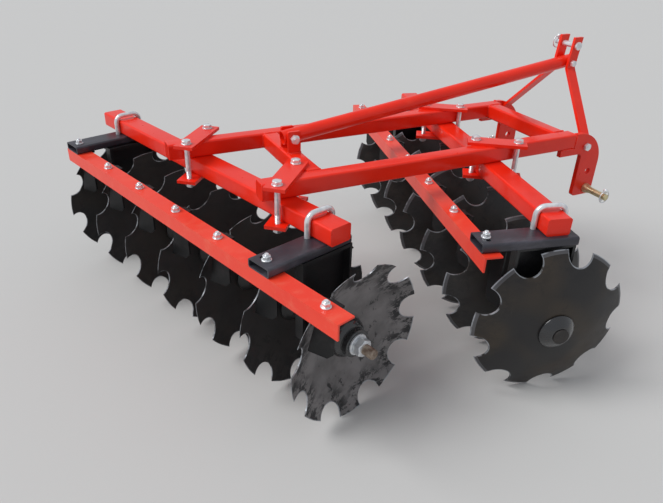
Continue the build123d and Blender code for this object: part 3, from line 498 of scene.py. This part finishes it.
def disc_finish(gang, number, grey, dabs, warm):
    """Paint of one disc: grey is how far it is rubbed, dabs how dark the marks on it are, and
    warm how much of the rolling mill's brown shows through."""
    centre, turn = disc_place(gang, number)
    finish = Finish(f"{gang}_disc_{number}_paint", Specular_IOR_Level=0.36)
    own = finish.node("ShaderNodeMapping", {"vector_type": "TEXTURE"}, {
        "Vector": finish.place, "Location": centre, "Rotation": Vector(turn.to_euler())})
    from_rim, from_edge = edge_distances(finish, own)
    shifted = finish.node("ShaderNodeVectorMath", {"operation": "ADD"}, {
        0: own, 1: (number * PATTERN_STEP, 0, 0)})
    cloud = finish.noise(0.11, 5, 0.6, shifted).rise(0.32, 0.66)
    dab = finish.noise(0.03, 5, 0.7, shifted, (0.55, 1, 1)).rise(0.58, 0.66)
    edge_dab = finish.noise(0.026, 5, 0.75, shifted, (1, 0.5, 1)).rise(0.46, 0.54)
    dab = dab.high_of(edge_dab * from_edge.rise(*EDGE_DAB_FADE))
    normal = finish.node("ShaderNodeTexCoord", output="Normal")
    bulge = Vector(GANGS[gang]["axis"]) * BULGE[gang]
    facing = finish.node("ShaderNodeVectorMath", {"operation": "DOT_PRODUCT"}, {0: normal, 1: bulge}, 1)
    on_bevel = from_rim.rise(BEVEL_WIDTH + BEVEL_BLUR, BEVEL_WIDTH - BEVEL_BLUR)
    bevel = facing.rise(0.0, 0.3) * on_bevel
    scratch = finish.noise(0.02, 4, 0.7, shifted, (0.12, 1.6, 1)).rise(0.66, 0.8)
    # The lip is bare steel at the cut edge and also a painted highlight: its colour stands in for the
    # sky's reflection there.
    lip_highlight = from_edge.rise(*LIP_HIGHLIGHT_FADE) * finish.noise(0.03, 3, place=shifted).rise(0.36, 0.56)
    brown = finish.noise(0.24, 2, place=shifted).rise(0.4, 0.62)
    paint = finish.mix((cloud * 0.45 + 0.55) * grey, DISC_BLACK, RUBBED_GREY)
    paint = finish.mix(brown * warm, paint, MILL_BROWN)
    paint = finish.mix(dab * dabs, paint, DAB_BLACK)
    paint = finish.mix(scratch * (0.1 + grey * 0.3), paint, SCRATCH_GREY)
    paint = finish.mix(bevel * 0.55, paint, GROUND_GREY)
    paint = finish.mix(lip_highlight * 0.75, paint, LIP_STEEL_HIGHLIGHT)
    finish.feed(finish.shader, "Base Color", paint)
    finish.feed(finish.shader, "Metallic", lip_highlight * 0.7)
    finish.feed(finish.shader, "Roughness", 0.36 + cloud * 0.14 - dab * 0.08)
    finish.feed(finish.shader, "Normal", finish.bump(finish.noise(0.05, 3, place=shifted), 0.0006, 0.6))
    return finish.material


# grey, dabs and warm of the discs that differ from the others
RUBBED = {
    ("rear", 7): (0.94, 0.92, 0.0),
    ("rear", 6): (0.16, 0.6, 0.1),
    ("front", 7): (0.06, 0.3, 0.7),
}
RUBBED_OTHERS = (0.13, 0.4, 0.25)
disc_paints = {}
for gang in GANGS:
    for number in range(1, DISC_COUNT + 1):
        rubbed = RUBBED.get((gang, number), RUBBED_OTHERS)
        disc_paints[f"{gang}_disc_{number}"] = disc_finish(gang, number, *rubbed)
print("disc paints", len(disc_paints))

# %% [markdown]
# ## Dress the solids
# The record names the finish of every node, so a short table from those names to materials
# dresses the whole harrow. The discs have paints of their own.

# %% Give every node its finish
FINISHES = {
    "frame_red": frame_red,
    "bar_red": bar_red,
    "arm_paint": arm_grey,
    "cast_black": cast_black,
    "scraper_steel": scraper_black,
    "axle_steel": bare_steel,
    "zinc": zinc,
    "yellow_zinc": yellow_zinc,
}
for row in frame["record"]["subparts"]:
    node = row["node"]
    paint = disc_paints.get(node) or FINISHES[row["material_slot"]]
    frame["nodes"][node].data.materials.clear()
    frame["nodes"][node].data.materials.append(paint)

# %% [markdown]
# ## Ground edges
# No steel edge is a perfect corner: sawing, shearing and casting leave a small round that
# catches the light as a thin line. Solids from CAD have none, and their faces are loose
# triangles. So a copy is merged, its flat faces are made whole, and a Bevel modifier rounds
# what is still sharp. Only edges that turn by more than a bend's facets are touched.

# %% Rounded copies
EDGE_ANGLE = radians(34)
FLAT_ANGLE = radians(0.4)
EDGE_SEGMENTS = 2
# width in millimetres for the nodes whose names hold each word
EDGE_ROUNDS = {
    "main_tube": 1.6, "crossmember": 1.2, "hitch_plate": 1.6, "mast_strap": 1.5, "stay_tube": 0.8,
    "stay_lug": 1.4, "gang_beam": 1.8, "clamp_plates": 1.3, "scraper_bar": 1.2, "scrapers": 0.8,
    "arm": 0.9, "hangers": 1.4, "bearing_housings": 2.0, "spools": 1.6, "end_bell": 1.4, "end_cap": 1.2,
}


def add_piece(name, points, faces, body, slot, finish, *nodes):
    """A finished piece in the shared frame, shaded smooth but for its sharp edges."""
    mesh = bpy.data.meshes.new(name)
    mesh.from_pydata(points.tolist(), [], faces)
    mesh.materials.append(finish)
    mesh.shade_smooth()
    mesh.set_sharp_from_angle(angle=EDGE_ANGLE)
    piece = bpy.data.objects.new(name, mesh)
    scene.collection.objects.link(piece)
    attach(piece, body)
    if nodes:
        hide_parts(*nodes)
    return piece


def rounded(node, width, body, slot, finish):
    """Copy of a node with every sharp edge rounded to the width in metres."""
    points, triangles = merged(node)
    piece = add_piece(f"{node}_ground", points, triangles.tolist(), body, slot, finish, node)
    whole = bmesh.new()
    whole.from_mesh(piece.data)
    bmesh.ops.dissolve_limit(whole, angle_limit=FLAT_ANGLE, verts=whole.verts, edges=whole.edges)
    whole.to_mesh(piece.data)
    whole.free()
    bevel = piece.modifiers.new("ground edges", "BEVEL")
    bevel.limit_method = "ANGLE"
    bevel.angle_limit = EDGE_ANGLE
    bevel.width = width
    bevel.segments = EDGE_SEGMENTS
    bevel.harden_normals = True
    return piece


def edge_round(node):
    """Width for a node's edges in millimetres, or None where they stay sharp."""
    return next((width for word, width in EDGE_ROUNDS.items() if word in node), None)


slots = {row["node"]: row["material_slot"] for row in frame["record"]["subparts"]}
copies = []
for node, slot in slots.items():
    width = edge_round(node)
    if width:
        body = body_of(frame["nodes"][node])[0]
        finish = gloss_black if "_end_" in node else FINISHES[slot]
        copies.append(rounded(node, width * MM, body, slot, finish))
print("ground the edges of", len(copies), "nodes")

# %% [markdown]
# ## Turned pieces
# A bolt is one skin: rings of points go round its axis, and each ring has a height, a round
# radius and perhaps flats. Where both are given the smaller wins, which is just how a nut is
# made: a hexagonal bar with its ends turned to a cone. A thread is a triangle wave that climbs
# one pitch per turn. Each end is closed by a point in its middle.

# %% Rings and skins
SIDES = 48
PITCH = 2.0 * MM
THREAD_DEPTH = 1.1 * MM
RINGS_PER_PITCH = 5
CHAMFER_RINGS = np.linspace(0, 1, 4)
CHAMFER_ANGLE = radians(30)
CHAMFER_START = 0.475


def polygon(turn, flats, corners):
    """Distance to a polygon's side: half its flats over the cosine of the angle from their middle."""
    half = pi / corners
    return flats / 2 / np.cos((turn + half) % (2 * half) - half)


def rings(stations, pitch=PITCH):
    """Rings round z, one for each height, circle, flats, corners and thread depth. The radius is
    the smaller of circle and polygon, less the thread's triangle wave at that turn and height."""
    height, circle, flats, corners, thread = np.array(stations).T[..., None]
    turn = np.linspace(0, 2 * pi, SIDES, endpoint=False)[None]
    radius = np.where(corners > 0, np.minimum(circle, polygon(turn, flats, corners.clip(3))), circle)
    radius = radius - thread * abs(2 * ((height / pitch - turn / (2 * pi)) % 1) - 1)
    return np.stack([radius * np.cos(turn), radius * np.sin(turn), height + 0 * turn], axis=-1)


def skin(hoops):
    """Closed skin over rings of points, with a point in the middle of each end."""
    count, sides = hoops.shape[:2]
    here = np.arange(count * sides).reshape(count, sides)
    after = np.roll(here, -1, axis=1)
    walls = np.stack([here[:-1], after[:-1], after[1:], here[1:]], axis=-1).reshape(-1, 4)
    low = np.stack([after[0], here[0], np.full(sides, count * sides)], axis=-1)
    high = np.stack([here[-1], after[-1], np.full(sides, count * sides + 1)], axis=-1)
    middles = hoops[[0, -1]].mean(axis=1)
    points = np.concatenate([hoops.reshape(-1, 3), middles])
    return points, walls.tolist() + low.tolist() + high.tolist()


def stand(points, origin, axis):
    """Points turned so that their z axis points along axis, then moved to the origin given."""
    turn = np.array(Vector(axis).to_track_quat("Z", "Y").to_matrix())
    return points @ turn.T + np.array(origin)


def gather(skins):
    """Several skins as the points and faces of one mesh."""
    starts = np.cumsum([0] + [len(points) for points, _ in skins[:-1]])
    faces = [[corner + start for corner in face] for start, (_, skin_faces) in zip(starts, skins)
             for face in skin_faces]
    return np.concatenate([points for points, _ in skins]), faces


def disc_run(low, high, radius, edge=0.5 * MM):
    """Stations of a washer or a plain collar with small chamfers."""
    return [(low, radius - edge, 0, 0, 0), (low + edge, radius, 0, 0, 0),
            (high - edge, radius, 0, 0, 0), (high, radius - edge, 0, 0, 0)]


def plain_run(low, high, radius):
    """Stations of a smooth round shank."""
    return [(low, radius, 0, 0, 0), (high, radius, 0, 0, 0)]


def hex_run(low, high, flats):
    """Stations of a nut or a head, with cones that cut its corners at both ends."""
    inner = flats * CHAMFER_START
    grow = (flats / 2 / cos(pi / 6) - inner) * CHAMFER_RINGS
    rise = grow * tan(CHAMFER_ANGLE)
    lower = [(low + up, inner + out, flats, 6, 0) for up, out in zip(rise, grow)]
    upper = [(high - up, inner + out, flats, 6, 0) for up, out in zip(rise[::-1], grow[::-1])]
    return lower + upper


def thread_run(low, high, radius, pitch=PITCH):
    """Stations of a thread, close enough to show its ridges."""
    heights = np.linspace(low, high, max(2, round((high - low) / pitch * RINGS_PER_PITCH)))
    return [(height, radius, 0, 0, THREAD_DEPTH) for height in heights]


print("hexagon of 24 flats reaches", round(float(polygon(np.array(pi / 6), 24, 6)), 2))

# %% [markdown]
# ## Bolts
# The solids hold each bolt's place and length, and the sizes here are those of its parts. A
# bolt put in from above shows its head, and the scraper bolts show their nuts and stud ends.
# Every one stopped at its own turn when it was tightened, so a seeded draw turns each hexagon.

# %% Bolts and nuts
BOLT_RADIUS = 8 * MM
BOLT_FLATS = 24 * MM
HEAD = 10 * MM
NUT = 13 * MM
STUD = 3 * MM
WASHER = 3 * MM
WASHER_RADIUS = 15 * MM
BAR_BOLT_RADIUS = 6 * MM
BAR_BOLT_FLATS = 19 * MM
BAR_HEAD = 8 * MM
BAR_NUT = 10 * MM
BAR_STUD = 5 * MM
BAR_TIP = 1 * MM
BAR_WASHER_RADIUS = 13 * MM
CLAMP_THREAD = 38 * MM
turns = np.random.default_rng(7)


def clamp_bolt(length):
    """Foot to head: stud, nut, washer, thread, shank, washer and head."""
    nut_top = STUD + NUT
    head_low = length - HEAD
    return (thread_run(0, STUD, BOLT_RADIUS) + hex_run(STUD, nut_top, BOLT_FLATS)
            + disc_run(nut_top, nut_top + WASHER, WASHER_RADIUS)
            + thread_run(nut_top + WASHER, nut_top + CLAMP_THREAD, BOLT_RADIUS)
            + plain_run(nut_top + CLAMP_THREAD, head_low - WASHER, BOLT_RADIUS)
            + disc_run(head_low - WASHER, head_low, WASHER_RADIUS)
            + hex_run(head_low, length, BOLT_FLATS))


def bar_bolt(length):
    """Head below, then shank, washer, nut and stud end."""
    nut_top = length - BAR_STUD
    nut_low = nut_top - BAR_NUT
    return (hex_run(0, BAR_HEAD, BAR_BOLT_FLATS)
            + plain_run(BAR_HEAD, nut_low - WASHER, BAR_BOLT_RADIUS)
            + disc_run(nut_low - WASHER, nut_low, BAR_WASHER_RADIUS)
            + hex_run(nut_low, nut_top, BAR_BOLT_FLATS)
            + thread_run(nut_top, length - BAR_TIP, BAR_BOLT_RADIUS)
            + [(length, BAR_BOLT_RADIUS - BAR_TIP, 0, 0, 0)])


def cross_bolt(radius, flats):
    """Bolt across the machine: stud, nut, shank and head, from its nut end."""
    return lambda length: (
        thread_run(0, STUD, radius) + hex_run(STUD, STUD + NUT, flats)
        + plain_run(STUD + NUT, length - HEAD, radius)
        + hex_run(length - HEAD, length, flats))


def set_bolt(points, axis, stations):
    """Skin of one bolt in the place of a solid, whose box gives its line and its length."""
    low, high = box_of(points)
    middle = (low + high) / 2
    along = np.array(axis, float)
    length = abs((high - low) @ along)
    spin = turns.uniform(0, 2 * pi)
    hoops = rings(stations(length))
    turned = hoops @ np.array(Matrix.Rotation(spin, 3, "Z")).T
    points, faces = skin(turned)
    return stand(points, middle - along * length / 2, along), faces


UP = (0, 0, 1)
for gang in GANGS:
    for kind, stations in (("clamp_bolts", clamp_bolt), ("bar_bolts", bar_bolt)):
        node = f"{gang}_{kind}"
        bolts = [set_bolt(points, UP, stations) for points in solids(node)]
        add_piece(f"{node}_turned", *gather(bolts), "frame", "zinc", zinc, node)

lug_bolt, strap_bolt = sorted(solids("stay_bolts"), key=lambda points: points[:, 1].mean())
stay_bolts = [set_bolt(lug_bolt, (-1, 0, 0), cross_bolt(BOLT_RADIUS, BOLT_FLATS)),
              set_bolt(strap_bolt, (1, 0, 0), cross_bolt(BAR_BOLT_RADIUS, BAR_BOLT_FLATS))]
add_piece("stay_bolts_turned", *gather(stay_bolts), "frame", "zinc", zinc, "stay_bolts")
foot_bolt = cross_bolt(BOLT_RADIUS, BOLT_FLATS)
foot_bolts = [set_bolt(points, (np.sign(points[:, 0].mean()), 0, 0), foot_bolt)
              for points in solids("strap_foot_bolts")]
add_piece("strap_foot_bolts_turned", *gather(foot_bolts), "frame", "zinc", zinc, "strap_foot_bolts")
print("bolts turned for", len(GANGS) * 2 + 2, "nodes")

# %% [markdown]
# ## Bars bent along a path
# A U-bolt is round bar bent twice. Sweeping a circle along a path makes it: at each point the
# circle stands square to the path. As the paths here lie flat, the direction square to that
# plane stays the same all along, so the circle never twists.

# %% U-bolts
BEND_RADIUS = 24 * MM
BEND_STEPS = 12


def swept(path, across, radius):
    """Skin of a round bar: each ring is the path's point plus radius times a circle drawn in
    the direction across the path's plane and in the one square to it and to the path. The
    radius is one number, or one for each point of the path."""
    ahead = np.gradient(path, axis=0)
    ahead /= np.linalg.norm(ahead, axis=1, keepdims=True)
    square = np.cross(ahead, across)
    turn = np.linspace(0, 2 * pi, SIDES // 2, endpoint=False)
    circle = np.cos(turn)[:, None] * across + np.sin(turn)[:, None] * square[:, None]
    radii = np.broadcast_to(np.atleast_1d(radius), len(path))[:, None, None]
    return skin(path[:, None] + radii * circle)


def bent(points, bend, steps=BEND_STEPS):
    """Path through corner points with its inner corners rounded to the bend radius: each corner
    becomes an arc from one bend radius before it to one after it, for corners of 90 degrees."""
    path = [points[:1]]
    for before, corner, after in zip(points, points[1:], points[2:]):
        back = (before - corner) / np.linalg.norm(before - corner)
        on = (after - corner) / np.linalg.norm(after - corner)
        turn = np.linspace(0, pi / 2, steps)[:, None]
        path.append(corner + bend * (back * (1 - np.sin(turn)) + on * (1 - np.cos(turn))))
    return np.concatenate(path + [points[-1:]])


def to_shared(gang, points):
    """Points in the gang's own s, v, z brought to the shared frame."""
    matrix = np.array(gang_matrix(gang))
    return points @ matrix[:3, :3].T + matrix[:3, 3]


foot_nut = (hex_run(STUD, STUD + NUT, BOLT_FLATS)
            + disc_run(STUD + NUT, STUD + NUT + WASHER, WASHER_RADIUS))
nut_points, nut_faces = skin(rings(foot_nut))
for gang in GANGS:
    skins = []
    across = np.array(GANGS[gang]["axis"])
    for points in solids(f"{gang}_u_bolts"):
        low, high = box_of(in_gang(gang, points))
        s, v = (low[:2] + high[:2]) / 2
        leg = (high[1] - low[1]) / 2 - WASHER_RADIUS
        corners = np.array([(s, v - leg, low[2]), (s, v - leg, high[2] - BOLT_RADIUS),
                            (s, v + leg, high[2] - BOLT_RADIUS), (s, v + leg, low[2])])
        skins.append(swept(to_shared(gang, bent(corners, BEND_RADIUS)), across, BOLT_RADIUS))
        for foot in corners[[0, 3]]:
            skins.append((stand(nut_points, to_shared(gang, foot), UP), nut_faces))
    add_piece(f"{gang}_u_bolts_bent", *gather(skins), "frame", "zinc", zinc, f"{gang}_u_bolts")
print("u-bolts bent", 2 * len(GANGS))

# %% [markdown]
# ## Hitch pins and linchpins
# The three pins that meet the tractor are held by linchpins: a tapered pin through the end of
# the hitch pin, and a spring ring that snaps over that end. The ring is a swept wire, nearly a
# full circle, that starts and ends in the linchpin's knob.

# %% Hitch pins
LOWER_PIN_RADIUS = 11 * MM
LOWER_PIN_NUT = 18 * MM
LOWER_PIN_FLATS = 34 * MM
PLATE = 16 * MM
COLLAR = 26 * MM
COLLAR_RIM = 8 * MM
COLLAR_RADIUS = 17 * MM
PIN_TIP = 3 * MM
TOP_PIN_RADIUS = 9.5 * MM
TOP_PIN_TIP = 2 * MM
TOP_PIN_HEAD = 8 * MM
TOP_PIN_HEAD_RADIUS = 13.5 * MM
LINCHPIN_BACK = {"lower": 15 * MM, "top": 10 * MM}
LINCHPIN_RADIUS = 4.5 * MM
LINCHPIN_REACH = 21 * MM
LINCHPIN_POINT = 6 * MM
POINT_RADIUS = 1.5 * MM
KNOB_RADIUS = 8 * MM
KNOB_HALF = 6 * MM
KNOB_RINGS = np.linspace(-1, 1, 9)
WIRE_RADIUS = 1.9 * MM
SPRING_OUT = 5 * MM
SPRING_RADIUS = 21 * MM
SPRING_TURN = np.linspace(radians(14), radians(346), 60)


def lower_pin(length):
    """Nut inside the plate, then the plate, the tapered collar and the smooth pin."""
    nut_top = STUD + LOWER_PIN_NUT
    face = nut_top + PLATE
    return (thread_run(0, STUD, LOWER_PIN_RADIUS) + hex_run(STUD, nut_top, LOWER_PIN_FLATS)
            + plain_run(nut_top, face, LOWER_PIN_RADIUS)
            + plain_run(face, face + COLLAR_RIM, COLLAR_RADIUS)
            + plain_run(face + COLLAR, length - PIN_TIP, LOWER_PIN_RADIUS)
            + [(length, LOWER_PIN_RADIUS - PIN_TIP, 0, 0, 0)])


def top_pin(length):
    """Plain pin with a chamfered tip and a round head."""
    return ([(0, TOP_PIN_RADIUS - TOP_PIN_TIP, 0, 0, 0)]
            + plain_run(TOP_PIN_TIP, length - TOP_PIN_HEAD, TOP_PIN_RADIUS)
            + disc_run(length - TOP_PIN_HEAD, length, TOP_PIN_HEAD_RADIUS, edge=1.2 * MM))


def linchpin(name, place, out, tilt):
    """Linchpin across a hitch pin at the place given, where out points off the pin's end."""
    out = np.array(out, float)
    up = np.array((0, sin(tilt), cos(tilt)))
    side = np.cross(up, out)
    stations = [(-LINCHPIN_REACH, POINT_RADIUS, 0, 0, 0)]
    stations += plain_run(LINCHPIN_POINT - LINCHPIN_REACH, LINCHPIN_REACH - KNOB_HALF, LINCHPIN_RADIUS)
    knob = KNOB_RADIUS - LINCHPIN_RADIUS
    stations += [(LINCHPIN_REACH + KNOB_HALF * ring, LINCHPIN_RADIUS + knob * (1 - ring * ring) ** 0.5,
                  0, 0, 0) for ring in KNOB_RINGS]
    pin_points, pin_faces = skin(rings(stations))
    loop = SPRING_TURN[:, None]
    centre = place + out * SPRING_OUT
    wire = centre + SPRING_RADIUS * (np.cos(loop) * up + np.sin(loop) * side)
    skins = [(stand(pin_points, place, up), pin_faces), swept(wire, out, WIRE_RADIUS)]
    add_piece(name, *gather(skins), "frame", "zinc", zinc)


for side, word in ((1, "right"), (-1, "left")):
    node = f"lower_link_pin_{word}"
    out = np.array((side, 0, 0), float)
    points, faces = set_bolt(node_points(node), out, lower_pin)
    add_piece(f"{node}_turned", points, faces, "frame", "yellow_zinc", yellow_zinc, node)
    low, high = box_of(node_points(node))
    tip = (low + high) / 2 + out * (high - low)[0] / 2
    linchpin(f"linchpin_{word}", tip - out * LINCHPIN_BACK["lower"], out, radians(20))
points, faces = set_bolt(node_points("top_link_pin"), (1, 0, 0), top_pin)
add_piece("top_link_pin_turned", points, faces, "frame", "zinc", zinc, "top_link_pin")
low, high = box_of(node_points("top_link_pin"))
tip = np.array((low[0], *(low[1:] + high[1:]) / 2))
back = np.array((LINCHPIN_BACK["top"], 0, 0))
linchpin("linchpin_top", tip + back, (-1, 0, 0), radians(-12))
print("hitch pins 3, linchpins 3")

# %% [markdown]
# ## Axle ends
# The square bar is hidden in the spools, but its ends show. At the hollow end a bright washer
# and nut pull the whole gang together on a browned stud. At the other end a low, rough forged
# head sits on the dome. They are three finishes, so three pieces stand for one solid.

# %% Axles
AXLE_BAR = 30 * MM
AXLE_RADIUS = 15 * MM
AXLE_FLATS = 46 * MM
AXLE_NUT = 24 * MM
AXLE_STUD = 34 * MM
AXLE_WASHER = 6 * MM
AXLE_WASHER_RADIUS = 31 * MM
AXLE_HEAD = 6 * MM
AXLE_HEAD_RADIUS = 23 * MM
AXLE_PITCH = 3 * MM
AXLE_TIP = 2 * MM
AXLE_TIP_CUT = 3 * MM

forged = smeared("forged_head", srgb(40, 36, 34), srgb(78, 70, 64), 0.5, 0.2, 0.0012)
for gang in GANGS:
    node = f"{gang}_axle"
    low, high = box_of(in_gang(gang, node_points(node)))
    hollow = -BULGE[gang]
    start = low[0] if hollow > 0 else high[0]
    length = high[0] - low[0]
    origin = to_shared(gang, np.array((start, (low[1] + high[1]) / 2, AXLE_Z)))
    axis = hollow * np.array(GANGS[gang]["axis"])
    washer = length - AXLE_STUD - AXLE_NUT - AXLE_WASHER
    stations = {
        "head": disc_run(0, AXLE_HEAD, AXLE_HEAD_RADIUS, edge=1.6 * MM),
        "bar": ([(AXLE_HEAD, AXLE_BAR, AXLE_BAR, 4, 0), (washer, AXLE_BAR, AXLE_BAR, 4, 0)]
                + thread_run(washer, length - AXLE_TIP, AXLE_RADIUS, AXLE_PITCH)
                + [(length, AXLE_RADIUS - AXLE_TIP_CUT, 0, 0, 0)]),
        "nut": (disc_run(washer, washer + AXLE_WASHER, AXLE_WASHER_RADIUS, edge=1 * MM)
                + hex_run(washer + AXLE_WASHER, washer + AXLE_WASHER + AXLE_NUT, AXLE_FLATS)),
    }
    finishes = {"head": ("cast_black", forged), "bar": ("axle_steel", bare_steel), "nut": ("zinc", zinc)}
    for word, run in stations.items():
        points, faces = skin(rings(run, AXLE_PITCH))
        slot, finish = finishes[word]
        points = stand(points, origin, axis)
        add_piece(f"{node}_{word}", points, faces, f"{gang}_gang", slot, finish, node)
print("axles dressed", len(GANGS))

# %% [markdown]
# ## Weld beads
# A weld is a row of frozen puddles. The bead is a bar swept along the joint whose radius swells
# and shrinks with each puddle and wanders a little, half sunk in the corner it fills. It is
# painted with the frame, so it takes the same enamel.

# %% Welds
BEAD_RADIUS = 3.4 * MM
PUDDLE = 3.6 * MM
PUDDLE_RINGS = 6
PUDDLE_SWELL = 0.14
WANDER = 0.16
WANDER_POINTS = 6
SIDE_SINK = 0.5 * MM
FOOT_GAP = 5 * MM
welds = np.random.default_rng(11)


def bead(start, end, radius=BEAD_RADIUS):
    """Skin of one bead: its radius is the mean plus a sine of the puddles plus a slow wander,
    and it dies away at both ends."""
    start, end = np.array(start, float), np.array(end, float)
    length = np.linalg.norm(end - start)
    share = np.linspace(0, 1, max(8, round(length / PUDDLE * PUDDLE_RINGS)))
    run = share * length
    drift = welds.uniform(-WANDER, WANDER, WANDER_POINTS)
    wander = np.interp(run, np.linspace(0, length, WANDER_POINTS), drift)
    swell = 1 + PUDDLE_SWELL * abs(np.sin(pi * run / PUDDLE)) + wander
    fade = np.minimum(1, np.minimum(share, 1 - share) * length / radius * 0.9 + 0.25)
    path = start + share[:, None] * (end - start)
    ahead = (end - start) / length
    across = np.cross(ahead, (0.3, 0.2, 0.9) if abs(ahead[2]) < 0.9 else (1.0, 0, 0))
    return swept(path, across / np.linalg.norm(across), radius * swell * fade)


def tube_joint(node):
    """Beads over the top and down both sides at each end of a crossmember."""
    low, high = box_of(node_points(node))
    beads = []
    inset, top = 3 * MM, high[2] - 1 * MM
    for x in (low[0], high[0]):
        beads.append(bead((x, low[1] + inset, top), (x, high[1] - inset, top)))
        for y in (low[1] + SIDE_SINK, high[1] - SIDE_SINK):
            beads.append(bead((x, y, low[2] + FOOT_GAP), (x, y, high[2] - 4 * MM)))
    return beads


def lug_foot(points):
    """Beads round the four sides of a lug's foot."""
    low, high = box_of(points)
    sides = [bead((x, low[1], low[2]), (x, high[1], low[2])) for x in (low[0], high[0])]
    return sides + [bead((low[0], y, low[2]), (high[0], y, low[2])) for y in (low[1], high[1])]


def plate_seam(word, side):
    """Beads down the outside, over the top and under the outer edge, where a hitch plate closes
    its tube."""
    tube_low, tube_high = box_of(node_points(f"main_tube_{word}"))
    plate_low, plate_high = box_of(node_points(f"hitch_plate_{word}"))
    x = (tube_high[0] if side > 0 else tube_low[0]) - side * SIDE_SINK
    y, inset, top = tube_high[1], 2 * MM, tube_high[2] - 0.8 * MM
    return [bead((x, y, tube_low[2] + FOOT_GAP), (x, y, tube_high[2] - 6 * MM)),
            bead((plate_low[0] + inset, y, top), (plate_high[0] - inset, y, top)),
            bead((x, plate_low[1] + inset, tube_low[2]), (x, y - 4 * MM, tube_low[2]), radius=2.6 * MM)]


beads = tube_joint("front_crossmember") + tube_joint("rear_crossmember")
beads += [one for points in solids("stay_lug") for one in lug_foot(points)]
beads += plate_seam("right", 1) + plate_seam("left", -1)
add_piece("frame_welds", *gather(beads), "frame", "frame_red", frame_red)
print("weld beads", len(beads))
